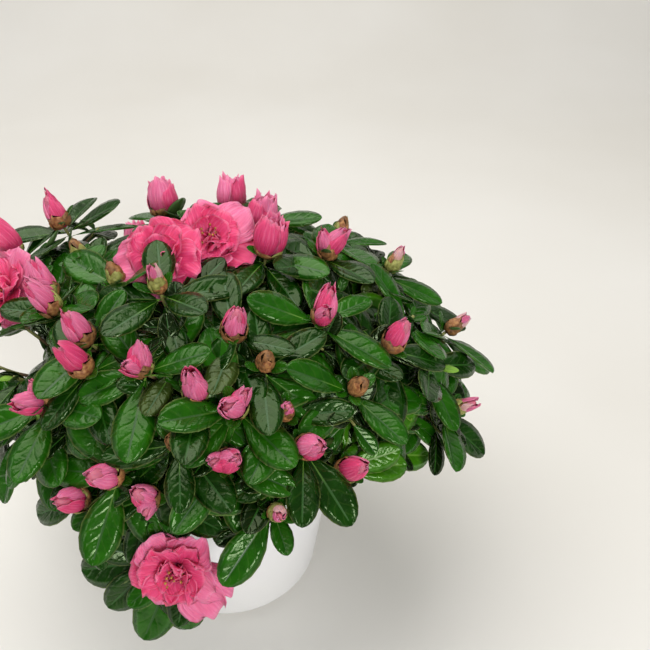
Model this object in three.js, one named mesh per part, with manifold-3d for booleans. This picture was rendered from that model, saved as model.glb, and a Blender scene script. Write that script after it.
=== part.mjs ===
// A florist's azalea in a white pot: a pinched, many-stemmed shrub whose shoots end in whorls of
// leaves round pink buds and double blooms.
// Millimetres, +Z up. The origin is the centre of the pot's underside, and the front faces -Y.
import * as THREE from "three";
import { mergeVertices } from "three/addons/utils/BufferGeometryUtils.js";
import Module from "manifold-3d";

const wasm = await Module();
wasm.setup();

const { Vector2, Vector3, QuadraticBezierCurve3 } = THREE;
const rad = THREE.MathUtils.degToRad;
const UP = new Vector3(0, 0, 1);
const CLEARANCE = 0.3; // between two pieces that touch
const SLIVER = 0.02; // finer than this, an edge of a fused solid is closed up

// ---------------------------------------------------------------- driving dimensions

const pot = { height: 122, baseRadius: 57, rimRadius: 75, wall: 3.2, floor: 4, footRound: 9, sides: 40 };
const soilTop = pot.height - 13;

// The shoots' tips lie on a flattened dome round this centre.
const crown = { centre: new Vector3(2, 14, 150), halfWidth: 136, halfDepth: 120, rise: 84, drop: 50 };
const BOXINESS = 2.3; // 2 would be a plain ellipsoid
const SHOOTS = 88;
const LOWEST_LEAN = rad(99);
// No leaf hangs lower than the skirt, which rises where the crown is cut away at its front right.
const skirt = { height: 109, rise: 42, turn: rad(-50), spread: rad(26) };
const GOLDEN_ANGLE = rad(137.50776);

const trunk = { height: 24, footRadius: 11, topRadius: 7.5, flare: 4, lean: new Vector3(2, -1.5, 0) };
const arm = { count: 3, length: 27, lean: rad(42), startRadius: 5.6, endRadius: 4.4 };
const bough = { startRadius: 3.1, endRadius: 2.1, sides: 5, steps: 3 };
const stemRadius = 1.9;
const twig = { startRadius: 1.4, endRadius: 1.15, sides: 3, steps: 2 };

// How far out from the crown's centre each stage reaches, as a share of the dome's radius.
const reachOf = { boughTip: 0.42, fork: 0.57, massCentre: 0.72 };

// The masses of foliage lie in three rings down the dome.
const RINGS = [
  { name: "top", count: 1, lean: 0, turn: 0 },
  { name: "upper", count: 6, lean: rad(42), turn: rad(30) },
  { name: "side", count: 9, lean: rad(82), turn: rad(30) },
];

// Each blade stands for two or three real leaves, so it is broader than life.
const leaf = { length: [36, 43], widthShare: 0.62, thickness: 1.2, widest: 0.6 };
const leafPlaces = [4, 6, 8, 10, 23, 36]; // down the twig from its tip
const SPREAD_OF_LEAVES = [rad(62), rad(92)]; // from the shoot's own line, first leaf and last
const FOLDS = [0, rad(16), rad(32)]; // how far a crowded leaf may close up towards its shoot
const SWINGS = [0, rad(24), rad(-24)]; // how far it may swing round the shoot
const SHRINKS = [1, 0.8, 0.62]; // and how small it may stay
const SPREAD_UNDER_BLOOM = rad(22); // leaves lie back from an open bloom
const BENDS = [0.45, 0.3, 0.15, 0]; // how strongly a twig bows, freest first
const BLOOM_SCALES = [1, 0.85, 0.7, 0.55]; // a crowded bloom is drawn in
const NOD = { lean: rad(60), forward: new Vector3(0, -0.6, 0) }; // the upper blooms turn to the front
const TIP_DEPTH = 2.5; // between a shoot's tip and the border of its mass's space
const SHOOT_LIFT = 0.62; // how strongly a shoot's tip turns up towards the light

// What the shoots' tips carry where it stands out: turn round the crown from +X and lean from
// upright, in degrees, then reach as a share of the dome's radius.
const BLOSSOMS = [
  ["bloom", 90, 3, 0.98],
  ["bloom", -152, 12, 0.98],
  ["bloom", -175, 50, 1.05],
  ["bloom", -94, 112, 1.12],
  ["opening", 116, 38, 1.04],
  ["opening", 60, 22, 1.0],
  ["opening", 165, 50, 1.17],
  ["bud", 149, 44, 1.17],
  ["opening", 88, 37, 1.03],
  ["bud", -28, 52, 1.0],
  ["bud", -76, 32, 1.0],
  ["bud", -130, 39, 1.0],
  ["bud", -89, 48, 0.97],
  ["bud", -57, 80, 1.0],
  ["bud", -116, 88, 1.0],
  ["bud", -123, 46, 1.0],
  ["pair", 8, 27, 1.02],
  ["pair", -42, 35, 1.02],
  ["pair", -167, 39, 1.0],
  ["pair", -130, 59, 1.0],
  ["pair", -79, 52, 1.0],
  ["pair", -83, 67, 1.0],
  ["pair", -99, 81, 1.0],
  ["pair", -105, 42, 1.02],
  ["tight", -112, 21, 1.1],
  ["tight", -154, 23, 0.98],
  ["tight", 16, 49, 1.0],
  ["tight", -69, 42, 1.0],
  ["tight", -68, 56, 0.97],
  ["tight", -48, 56, 1.0],
  ["tight", -20, 86, 1.06],
  ["tight", 3, 73, 1.05],
  ["tight", -74, 83, 1.07],
  ["tight", 38, 40, 1.0],
  ["tight", 171, 33, 1.0],
  ["tight", -93, 61, 1.0],
  ["bud", -65, 67, 1.0],
  ["bud", -107, 74, 1.0],
  ["bud", -155, 39, 1.0],
  ["opening", 0, 13, 1.02],
].map(([kind, turn, lean, reach]) => ({ kind, turn: rad(turn), lean: rad(lean), reach }));

const budShape = { length: 21, radius: 5.8, sunk: 3 };
const tightBud = { length: 12, radius: 4.2, sunk: 2.5 };
const openingBud = { length: 24, radius: 9, sunk: 3 };
const bloomShape = { radius: 27, petals: 6, cup: 9, thickness: 5 };
const bloomHeart = { length: 17, radius: 9, sunk: 0 };

const paint = (color, roughness) => new THREE.MeshStandardMaterial({ color, roughness, metalness: 0 });
const materials = {
  pot: paint(0xe9e8ea, 0.38),
  soil: paint(0x2b211b, 0.95),
  bark: paint(0x6b5a45, 0.85),
  foliage: paint(0x1f4d24, 0.42),
};

// ---------------------------------------------------------------- geometry and solids

// A closed solid from a three.js geometry.
function solidFrom(geometry) {
  geometry.deleteAttribute("normal");
  geometry.deleteAttribute("uv");
  const merged = mergeVertices(geometry, 1e-4);
  return new wasm.Manifold(
    new wasm.Mesh({
      numProp: 3,
      vertProperties: merged.getAttribute("position").array,
      triVerts: new Uint32Array(merged.index.array),
    }),
  );
}

// The one body of a fused solid: slivers are closed up, loose scraps dropped and sealed hollows filled.
function mainBody(solid) {
  const bodies = solid.simplify(SLIVER).decompose();
  return bodies.reduce((best, body) => (body.volume() > best.volume() ? body : best));
}

// A named mesh that stands at its own anchor point.
function meshFrom(name, solid, material, anchor = new Vector3()) {
  const { numProp, vertProperties, triVerts } = solid.getMesh();
  const corners = new Float32Array((vertProperties.length / numProp) * 3);
  for (let i = 0; i < corners.length / 3; i++) {
    corners.set(vertProperties.subarray(i * numProp, i * numProp + 3), i * 3);
  }
  const geometry = new THREE.BufferGeometry();
  geometry.setAttribute("position", new THREE.BufferAttribute(corners, 3));
  geometry.setIndex(new THREE.BufferAttribute(triVerts, 1));
  geometry.translate(-anchor.x, -anchor.y, -anchor.z);
  const mesh = new THREE.Mesh(geometry, material);
  mesh.name = name;
  mesh.position.copy(anchor);
  return mesh;
}

// Moves each vertex of a geometry to where place(x, y, z) puts it.
function reshape(geometry, place) {
  const position = geometry.getAttribute("position");
  for (let i = 0; i < position.count; i++) {
    const p = place(position.getX(i), position.getY(i), position.getZ(i));
    position.setXYZ(i, p.x, p.y, p.z);
  }
  return geometry;
}

// A tapering round limb along a curve. grow makes it stouter and longer all round, for a clear cut.
function limb(curve, startRadius, endRadius, { sides, steps }, grow = 0) {
  const { tangents, normals, binormals } = curve.computeFrenetFrames(steps);
  const bar = new THREE.CylinderGeometry(1, 1, 1, sides, steps);
  return solidFrom(
    reshape(bar, (x, y, z) => {
      const row = Math.round((y + 0.5) * steps);
      const radius = THREE.MathUtils.lerp(startRadius, endRadius, row / steps) + grow;
      const past = row === 0 ? -grow : row === steps ? grow : 0;
      return curve
        .getPoint(row / steps)
        .addScaledVector(binormals[row], x * radius)
        .addScaledVector(normals[row], z * radius)
        .addScaledVector(tangents[row], past);
    }),
  );
}

// A blade of six faces from its root: a kite with a keel beneath, bent down towards its tip.
// frame holds unit vectors: along the blade, across it, and up from its upper face.
function blade(root, frame, length, droop) {
  const spindle = new THREE.SphereGeometry(1, 3, 2);
  const halfWidth = (length * leaf.widthShare) / 2;
  return solidFrom(
    reshape(spindle, (x, y, z) => {
      const share = (1 + y) / 2 + (leaf.widest - 0.5) * (1 - y ** 2);
      return root
        .clone()
        .addScaledVector(frame.along, share * length)
        .addScaledVector(frame.across, (-z / Math.sin(Math.PI / 3)) * halfWidth)
        .addScaledVector(frame.up, (x * leaf.thickness) / 1.5 - droop * length * share ** 2);
    }),
  );
}

// A pointed egg of a bud from its base, along an axis.
function egg(base, axis, length, radius, sides = 5, rows = 3) {
  const { u, v } = crossAxes(axis);
  return solidFrom(
    reshape(new THREE.SphereGeometry(1, sides, rows), (x, y, z) =>
      base
        .clone()
        .addScaledVector(axis, ((1 - y) / 2) * length)
        .addScaledVector(u, x * radius)
        .addScaledVector(v, z * radius),
    ),
  );
}

// An open bloom: a scalloped saucer that faces along an axis.
function saucer(centre, axis, scale) {
  const { u, v } = crossAxes(axis);
  const dish = new THREE.SphereGeometry(1, 2 * bloomShape.petals, 3);
  return solidFrom(
    reshape(dish, (x, y, z) => {
      const out = Math.hypot(x, z);
      const scallop = 1 + 0.09 * Math.cos(bloomShape.petals * Math.atan2(z, x));
      return centre
        .clone()
        .addScaledVector(axis, bloomShape.cup * scale * out ** 2 - (y * bloomShape.thickness) / 2)
        .addScaledVector(u, x * bloomShape.radius * scale * scallop)
        .addScaledVector(v, z * bloomShape.radius * scale * scallop);
    }),
  );
}

// Two unit vectors square to an axis, with u x v = axis.
function crossAxes(axis) {
  const u = new Vector3(-axis.y, axis.x, 0);
  if (u.length() < 1e-3) u.set(0, 1, 0);
  u.normalize();
  return { u, v: new Vector3().crossVectors(axis, u) };
}

// ---------------------------------------------------------------- the rule that the shrub grows by

// Even draws between two values, the same for the same seed.
function drawing(seed) {
  let state = (seed * 7919 + 104729) % 2147483647;
  const next = () => {
    state = (state * 16807) % 2147483647;
    return state / 2147483647;
  };
  next();
  next();
  return (low, high) => low + (high - low) * next();
}

// The direction with a turn round the crown from +X and a lean from upright.
function direction(turn, lean) {
  return new Vector3(Math.sin(lean) * Math.cos(turn), Math.sin(lean) * Math.sin(turn), Math.cos(lean));
}

// The point of the flattened dome in that direction, times reach.
function domePoint({ turn, lean }, reach) {
  const d = direction(turn, lean);
  const [across, upward] = [Math.abs(Math.sin(lean)), Math.abs(Math.cos(lean))];
  const swell = (across ** BOXINESS + upward ** BOXINESS) ** (-1 / BOXINESS);
  const upright = d.z > 0 ? crown.rise : crown.drop;
  return new Vector3(d.x * crown.halfWidth, d.y * crown.halfDepth, d.z * upright)
    .multiplyScalar(reach * swell)
    .add(crown.centre);
}

// The height of the skirt below a point.
function skirtAt(point) {
  const turn = Math.atan2(point.y - crown.centre.y, point.x - crown.centre.x);
  const out = Math.hypot(point.x - crown.centre.x, point.y - crown.centre.y) / crown.halfWidth;
  const near = Math.exp(-(((turn - skirt.turn) / skirt.spread) ** 2));
  return skirt.height + skirt.rise * Math.min(1, out) * near;
}

// Every shoot of the crown, spaced evenly by the golden angle, with the nearest one moved to each blossom.
function growShoots() {
  const shoots = [];
  for (let i = 0; i < SHOOTS; i++) {
    const draw = drawing(i);
    const level = 1 - ((i + 0.5) / SHOOTS) * (1 - Math.cos(LOWEST_LEAN));
    const turn = i * GOLDEN_ANGLE;
    const reach = draw(0.9, 1.04);
    const dealt = draw(0, 1);
    const kind = ["bud", "tight", "pair", "opening", "bloom"].find((_, n) => dealt < 0.1 * (n + 1));
    shoots.push({ seed: i, turn, lean: Math.acos(level), reach, kind: kind ?? "leafy" });
  }
  const claimed = new Set();
  for (const blossom of BLOSSOMS) {
    const toward = direction(blossom.turn, blossom.lean);
    const free = shoots.filter((shoot) => !claimed.has(shoot));
    const nearness = (shoot) => toward.dot(direction(shoot.turn, shoot.lean));
    const nearest = free.reduce((best, shoot) => (nearness(shoot) > nearness(best) ? shoot : best));
    claimed.add(Object.assign(nearest, blossom));
  }
  // Blossoms are dealt out by chance only on the far side of those placed by hand.
  for (const shoot of shoots) {
    if (!claimed.has(shoot) && Math.sin(shoot.turn) * Math.sin(shoot.lean) < 0.62) shoot.kind = "leafy";
  }
  return shoots;
}

// The masses of foliage, each with its place on the dome.
function layMasses() {
  return RINGS.flatMap((ring) =>
    Array.from({ length: ring.count }, (_, n) => {
      const place = { turn: ring.turn + (n * 2 * Math.PI) / ring.count, lean: ring.lean };
      const name = ring.count > 1 ? `${ring.name}_${n + 1}` : ring.name;
      return {
        name,
        ring: ring.name,
        ...place,
        start: domePoint(place, reachOf.boughTip),
        fork: domePoint(place, reachOf.fork),
        centre: domePoint(place, reachOf.massCentre),
      };
    }),
  );
}

// How deep a point lies inside a mass's own space: the part of the crown nearer to it than to any other.
function depthInSpace(point, mass, masses) {
  const depths = masses
    .filter((other) => other !== mass)
    .map(
      (other) =>
        (point.distanceToSquared(other.centre) - point.distanceToSquared(mass.centre)) /
        (2 * other.centre.distanceTo(mass.centre)),
    );
  return Math.min(...depths);
}

// ---------------------------------------------------------------- pot and soil

function potRadius(z) {
  return THREE.MathUtils.lerp(pot.baseRadius, pot.rimRadius, z / pot.height);
}

function lathe(profile) {
  return solidFrom(new THREE.LatheGeometry(profile, pot.sides).rotateX(Math.PI / 2));
}

function makePot() {
  const profile = [new Vector2(0, 0)];
  const footSteps = 3;
  for (let i = 0; i <= footSteps; i++) {
    const a = (i / footSteps) * (Math.PI / 2);
    const z = pot.footRound * (1 - Math.cos(a));
    profile.push(new Vector2(potRadius(z) - pot.footRound * (1 - Math.sin(a)), z));
  }
  const lip = pot.wall / 3;
  profile.push(
    new Vector2(potRadius(pot.height - lip), pot.height - lip),
    new Vector2(pot.rimRadius - lip, pot.height),
    new Vector2(pot.rimRadius - pot.wall + lip, pot.height),
    new Vector2(pot.rimRadius - pot.wall, pot.height - lip),
    new Vector2(potRadius(pot.floor + 4) - pot.wall, pot.floor + 4),
    new Vector2(potRadius(pot.floor) - pot.wall - 5, pot.floor),
    new Vector2(0, pot.floor),
  );
  return lathe(profile);
}

function makeSoil() {
  const bottom = pot.floor + 4 + CLEARANCE;
  const gap = pot.wall + 2 * CLEARANCE;
  return lathe([
    new Vector2(0, bottom),
    new Vector2(potRadius(bottom) - gap, bottom),
    new Vector2(potRadius(soilTop) - gap, soilTop),
    new Vector2(0, soilTop),
  ]);
}

// ---------------------------------------------------------------- trunk, arms and boughs

// The woody frame, root first. Each limb is cut clear of the ones before it.
function makeWood(masses) {
  const wood = [];
  const standing = []; // the finished limbs, each grown by the clearance
  const add = (name, solidAt, anchor) => {
    const solid = standing.reduce((rest, other) => rest.subtract(other), solidAt(0));
    wood.push({ name, solid: mainBody(solid), anchor });
    standing.push(solidAt(CLEARANCE));
  };

  const foot = new Vector3(0, 0, soilTop + CLEARANCE);
  const top = foot.clone().add(trunk.lean).setZ(foot.z + trunk.height);
  const bend = foot.clone().setZ(foot.z + trunk.height / 2);
  const spine = new QuadraticBezierCurve3(foot, bend, top);
  add("trunk", (grow) => makeTrunk(spine, grow), foot);

  const arms = Array.from({ length: arm.count }, (_, n) => {
    const turn = RINGS[1].turn + ((n + 0.25) * 2 * Math.PI) / arm.count;
    const out = direction(turn, arm.lean);
    const start = spine.getPoint(0.82);
    const tip = start.clone().addScaledVector(out, arm.length);
    const curve = new QuadraticBezierCurve3(start, start.clone().addScaledVector(out, arm.length / 2), tip);
    const shape = { sides: 8, steps: 3 };
    add(`arm_${n + 1}`, (grow) => limb(curve, arm.startRadius, arm.endRadius, shape, grow), start);
    return { turn, out, curve };
  });

  for (const mass of masses) {
    const near = (a) => direction(a.turn, Math.PI / 2).dot(direction(mass.turn, Math.PI / 2));
    const carrier = arms.reduce((best, a) => (near(a) > near(best) ? a : best));
    const [high, low] = [0.94, 0.62].map((share) => carrier.curve.getPoint(share));
    const start = { top, upper: high, side: low }[mass.ring];
    const way = { top: UP, upper: carrier.out, side: direction(mass.turn, rad(70)) }[mass.ring];
    const reach = start.distanceTo(mass.start);
    const end = mass.start.clone().addScaledVector(mass.start.clone().sub(start).normalize(), -CLEARANCE);
    const curve = new QuadraticBezierCurve3(start, start.clone().addScaledVector(way, 0.35 * reach), end);
    const name = mass.ring === "top" ? "leader" : `bough_${mass.name}`;
    add(name, (grow) => limb(curve, bough.startRadius, bough.endRadius, bough, grow), start);
  }
  return { wood, cleared: wasm.Manifold.union(standing) };
}

// The trunk swells to its root flare over the lowest third.
function makeTrunk(spine, grow) {
  const rows = 6;
  const round = new THREE.CylinderGeometry(1, 1, 1, 12, rows);
  return solidFrom(
    reshape(round, (x, y, z) => {
      const share = y + 0.5;
      const flare = trunk.flare * Math.max(0, 1 - 3 * share) ** 2;
      const taper = THREE.MathUtils.lerp(trunk.footRadius - trunk.flare, trunk.topRadius, share);
      const radius = taper + flare + grow;
      const centre = spine.getPoint(share);
      return new Vector3(centre.x + z * radius, centre.y + x * radius, centre.z + (share === 1 ? grow : 0));
    }),
  );
}

// ---------------------------------------------------------------- foliage

// What a shoot's tip carries, as a list of pieces that are each a list of versions.
function blossomOf(shoot, tip, axis, draw) {
  const { u, v } = crossAxes(axis);
  const sideways = (angle) => u.clone().multiplyScalar(Math.cos(angle)).addScaledVector(v, Math.sin(angle));
  const bud = (shape, tilt, angle, scale = 1) => {
    const way = axis.clone().multiplyScalar(Math.cos(tilt)).addScaledVector(sideways(angle), Math.sin(tilt));
    const base = tip.clone().addScaledVector(way, -shape.sunk);
    return [() => egg(base, way, shape.length * scale, shape.radius * scale)];
  };
  const heading = draw(0, 2 * Math.PI);
  switch (shoot.kind) {
    case "tight":
      return [bud(tightBud, 0, 0)];
    case "bud":
      return [bud(budShape, rad(8), heading)];
    case "pair":
      return [bud(budShape, rad(22), heading, 0.9), bud(budShape, rad(26), heading + Math.PI, 0.72)];
    case "opening":
      return [bud(openingBud, rad(6), heading)];
    case "bloom":
      if (shoot.lean < NOD.lean && Math.sin(shoot.turn) * Math.sin(shoot.lean) < 0.5) {
        axis.add(NOD.forward).normalize();
      }
      return [BLOOM_SCALES.map((scale) => () => saucer(tip, axis, scale)), bud(bloomHeart, 0, 0)];
    default:
      return [];
  }
}

// A blade's frame, spread from an axis towards one side.
function frameOf(axis, side, spread) {
  const along = axis.clone().multiplyScalar(Math.cos(spread)).addScaledVector(side, Math.sin(spread));
  const up = axis.clone().multiplyScalar(Math.sin(spread)).addScaledVector(side, -Math.cos(spread));
  return { along, up, across: new Vector3().crossVectors(along, up) };
}

// The tip of a shoot, drawn in from the border of its mass's space.
function tipOf(shoot, mass, masses) {
  const tip = domePoint(shoot, shoot.reach);
  while (depthInSpace(tip, mass, masses) < TIP_DEPTH) tip.lerp(mass.centre, 0.04);
  return tip;
}

// The point so far down a twig from its tip, on the centre line of its two straight stretches.
function pointDown(curve, down) {
  const [fork, middle, tip] = [0, 0.5, 1].map((t) => curve.getPoint(t));
  const outer = tip.distanceTo(middle);
  return down < outer ? tip.lerp(middle, down / outer) : middle.lerp(fork, down / outer - 1);
}

// One shoot: a curved twig, its leaves in a whorl under the tip with one lower down, and its blossom.
// Each piece comes as a list of versions, the freest first.
function growShoot(shoot, tip, mass) {
  const draw = drawing(1000 + shoot.seed);
  const axis = direction(shoot.turn, shoot.lean).addScaledVector(UP, SHOOT_LIFT).normalize();
  const reach = mass.fork.distanceTo(tip);
  const twigs = BENDS.map((bow) => () => {
    const bend = tip.clone().addScaledVector(axis, -(bow || 0.01) * reach);
    const curve = new QuadraticBezierCurve3(mass.fork, bend, tip);
    return { curve, solid: limb(curve, twig.startRadius, twig.endRadius, twig) };
  });

  const { u, v } = crossAxes(axis);
  const heading = draw(0, 2 * Math.PI);
  const leaves = leafPlaces.map((down, n) => {
    const angle = heading + n * GOLDEN_ANGLE;
    const share = n / (leafPlaces.length - 1);
    const lying = shoot.kind === "bloom" ? SPREAD_UNDER_BLOOM : 0;
    const spread = THREE.MathUtils.lerp(...SPREAD_OF_LEAVES, share) + lying + draw(-0.12, 0.12);
    const length = draw(...leaf.length);
    const droop = draw(0.06, 0.2);
    const grow = (curve, shrink, fold, swing) => {
      const [along, aside] = [Math.cos(angle + swing), Math.sin(angle + swing)];
      const side = u.clone().multiplyScalar(along).addScaledVector(v, aside);
      return blade(pointDown(curve, down), frameOf(axis, side, spread - fold), length * shrink, droop);
    };
    return SHRINKS.flatMap((shrink) =>
      FOLDS.flatMap((fold) => SWINGS.map((swing) => (curve) => grow(curve, shrink, fold, swing))),
    );
  });
  return { twigs, leaves, blossoms: blossomOf(shoot, tip, axis.clone(), draw) };
}

// A mass: one stem that meets its bough, forking into the shoots whose tips lie in its space.
// A piece that would leave the space, or touch a limb, the pot, the soil or another shoot's pieces, is
// folded up, swung aside or skipped.
function makeMass(mass, shoots, masses, obstacles) {
  const clearOf = (solid, others) => others.every((other) => other.intersect(solid).isEmpty());
  const cornersOf = (solid) => {
    const { vertProperties, numProp } = solid.getMesh();
    const count = vertProperties.length / numProp;
    return Array.from({ length: count }, (_, i) => new Vector3().fromArray(vertProperties, i * numProp));
  };
  const inside = (solid) => cornersOf(solid).every((p) => depthInSpace(p, mass, masses) >= CLEARANCE);
  const aboveSkirt = (solid) => cornersOf(solid).every((p) => p.z >= skirtAt(p));
  const inner = mass.fork.clone().sub(mass.start).normalize();
  const past = mass.fork.clone().addScaledVector(inner, 1.5);
  const stemCurve = new QuadraticBezierCurve3(mass.start, mass.start.clone().lerp(past, 0.5), past);
  const stem = limb(stemCurve, stemRadius, stemRadius, { sides: 5, steps: 1 }).subtract(obstacles);

  const standing = []; // the shoots that found room for their twig
  for (const shoot of shoots) {
    const grown = growShoot(shoot, tipOf(shoot, mass, masses), mass);
    const twigs = grown.twigs.map((make) => make());
    const found = twigs.find(({ solid }) => inside(solid) && clearOf(solid, [obstacles]));
    if (found) standing.push({ ...grown, twig: found.solid, curve: found.curve });
  }
  const settled = [];
  const settle = (shoot, versions, neighbours, allowed) => {
    const twigs = standing.filter((other) => other !== shoot).map((other) => other.twig);
    const barred = [obstacles, ...twigs, ...neighbours];
    const fits = (solid) => inside(solid) && allowed(solid) && clearOf(solid, barred);
    const solid = versions.map((make) => make(shoot.curve)).find(fits);
    if (solid) settled.push(solid);
  };
  for (const shoot of standing) {
    const earlier = [...settled];
    for (const versions of shoot.blossoms) settle(shoot, versions, earlier, () => true);
  }
  for (const n of leafPlaces.keys()) {
    for (const shoot of standing) settle(shoot, shoot.leaves[n], settled, aboveSkirt);
  }
  return mainBody(wasm.Manifold.union([stem, ...standing.map((shoot) => shoot.twig), ...settled]));
}

// ---------------------------------------------------------------- assembly

const azalea = new THREE.Group();
azalea.name = "potted_azalea";

const planter = new THREE.Group();
const potSolid = makePot();
const soilSolid = makeSoil();
planter.add(meshFrom("pot", potSolid, materials.pot), meshFrom("potting_soil", soilSolid, materials.soil));
azalea.add(planter);

const masses = layMasses();
const frame = new THREE.Group();
const { wood, cleared } = makeWood(masses);
for (const { name, solid, anchor } of wood) frame.add(meshFrom(name, solid, materials.bark, anchor));
azalea.add(frame);

const shoots = growShoots();
const nearestMass = (shoot) => {
  const tip = domePoint(shoot, shoot.reach);
  return masses.reduce((best, m) => (tip.distanceTo(m.centre) < tip.distanceTo(best.centre) ? m : best));
};
const obstacles = wasm.Manifold.union([potSolid, soilSolid, cleared]);
const foliage = new THREE.Group();
for (const mass of masses) {
  const own = shoots.filter((shoot) => nearestMass(shoot) === mass);
  const solid = makeMass(mass, own, masses, obstacles);
  foliage.add(meshFrom(`foliage_${mass.name}`, solid, materials.foliage, mass.start));
}
azalea.add(foliage);

export default azalea;
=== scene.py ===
# %% [markdown]
# # A potted azalea
# The object is a florist's azalea: a pinched, many-stemmed shrub in a white pot. The frame holds its
# pot, potting mix, woody frame and one plain solid for each mass of foliage. Here the same growing
# rule runs again and goes on to finer twigs, real leaves, wrapped buds and double blooms. All lengths
# are metres.

# %% Load the frame
import math

import bmesh
import bpy
import numpy as np
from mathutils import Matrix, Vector, noise
from mathutils.bvhtree import BVHTree


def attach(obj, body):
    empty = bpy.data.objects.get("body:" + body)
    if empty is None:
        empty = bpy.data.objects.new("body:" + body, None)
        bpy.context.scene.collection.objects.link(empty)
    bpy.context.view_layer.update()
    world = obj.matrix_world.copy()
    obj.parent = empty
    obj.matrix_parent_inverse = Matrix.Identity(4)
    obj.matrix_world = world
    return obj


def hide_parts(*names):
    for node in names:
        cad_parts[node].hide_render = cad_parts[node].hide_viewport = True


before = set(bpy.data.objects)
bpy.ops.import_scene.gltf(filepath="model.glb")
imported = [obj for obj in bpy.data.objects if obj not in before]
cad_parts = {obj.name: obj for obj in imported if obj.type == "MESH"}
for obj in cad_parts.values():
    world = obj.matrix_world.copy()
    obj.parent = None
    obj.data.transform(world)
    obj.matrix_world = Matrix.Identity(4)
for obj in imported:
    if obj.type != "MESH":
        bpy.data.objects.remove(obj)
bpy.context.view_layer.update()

MM = 0.001
rad = math.radians
foliage_nodes = [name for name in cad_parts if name.startswith("foliage_")]
print(f"{len(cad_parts)} nodes, {len(foliage_nodes)} masses of foliage")

# %% [markdown]
# ## The camera
# The plant is seen from the front and above, as by someone who stands over a table: the camera looks
# down by 35 degrees. It could be aimed by a constraint, but a place and a turn are all that it needs.

# %% Camera
eye = bpy.data.cameras.new("camera")
eye.lens, eye.sensor_width = 43.48, 36
camera = bpy.data.objects.new("camera", eye)
camera.location = (0.0655, -0.3668, 0.4507)
camera.rotation_euler = (rad(55), 0, 0)
bpy.context.collection.objects.link(camera)
bpy.context.scene.camera = camera
bpy.context.scene.view_settings.view_transform = "Standard"
print("camera", [round(v, 3) for v in camera.location])


# %% [markdown]
# ## How a finish is made
# Leaves, petals, bark and plastic each need a finish with grain, gloss and relief. Nodes could be
# placed by hand in the editor; here a small class adds and joins them, so that each finish is a few
# lines that say what it looks like. Patterns follow the mesh itself or its own flat map, so they stay
# put in every view.

# %% A colour by its usual hexadecimal value, and a finish to build on
def colour(value):
    """The linear colour, with full opacity, of an ordinary hexadecimal screen colour."""
    parts = [(value >> shift & 255) / 255 for shift in (16, 8, 0)]
    return [p / 12.92 if p <= 0.04045 else ((p + 0.055) / 1.055) ** 2.4 for p in parts] + [1]


class Finish:
    """A material with its Principled shader, and short calls that add and join nodes."""

    def __init__(self, name, base, roughness, **sockets):
        self.material = bpy.data.materials.new(name)
        self.material.use_nodes = True
        self.tree = self.material.node_tree
        self.shader = self.tree.nodes["Principled BSDF"]
        self.set(self.shader, {"Base Color": colour(base), "Roughness": roughness})
        self.set(self.shader, {key.replace("_", " "): value for key, value in sockets.items()})

    def set(self, node, values):
        for socket, value in values.items():
            if hasattr(value, "links"):
                self.tree.links.new(value, node.inputs[socket])
            else:
                node.inputs[socket].default_value = value
        return node

    def add(self, kind, values, **settings):
        node = self.tree.nodes.new("ShaderNode" + kind)
        for key, value in settings.items():
            setattr(node, key, value)
        return self.set(node, values)

    def where(self):
        return self.add("TexCoord", {}).outputs["Object"]

    def noise(self, scale, detail=3, at=None):
        values = {"Vector": at or self.where(), "Scale": scale, "Detail": detail}
        return self.add("TexNoise", values).outputs["Fac"]

    def sums(self, operation, a, b=0.0, c=0.0):
        return self.add("Math", {0: a, 1: b, 2: c}, operation=operation).outputs[0]

    def spread(self, value, low, high, to_low=0.0, to_high=1.0):
        names = ("Value", "From Min", "From Max", "To Min", "To Max")
        return self.add("MapRange", dict(zip(names, (value, low, high, to_low, to_high)))).outputs[0]

    def mix(self, share, a, b):
        values = {"Factor": share, 6: a, 7: b}
        return self.add("Mix", values, data_type="RGBA").outputs[2]

    def bump(self, height, distance, strength=1.0):
        values = {"Height": height, "Distance": distance, "Strength": strength}
        return self.add("Bump", values).outputs["Normal"]

    def give(self, **sockets):
        self.set(self.shader, {key.replace("_", " "): value for key, value in sockets.items()})
        return self.material


# %% [markdown]
# ## The floor and the light
# The plant stands on a pale sweep of board. A sweep could be a plane and a wall with a crease; one
# sheet bent upwards at the back shows no line. A wide soft box overhead and a smaller one in front
# give the leaves their gloss, and two weak ones at the sides and a pale surrounding keep the shadows
# faint.

# %% Floor
board = Finish("pale_board", 0xE6E4DE, 0.42)
tint = board.spread(board.noise(2.2), 0.3, 0.7)
board.give(Base_Color=board.mix(tint, colour(0xE0DDD6), colour(0xE8E6E1)))


def verts_of(made):
    """The corner points among what an extrude has made."""
    return [v for v in made if isinstance(v, bmesh.types.BMVert)]


def mesh_of(bm, name, material):
    """Turns what was modelled into a smooth mesh of one finish."""
    mesh = bpy.data.meshes.new(name)
    bm.to_mesh(mesh)
    bm.free()
    mesh.materials.append(material)
    mesh.shade_smooth()
    return mesh


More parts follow.
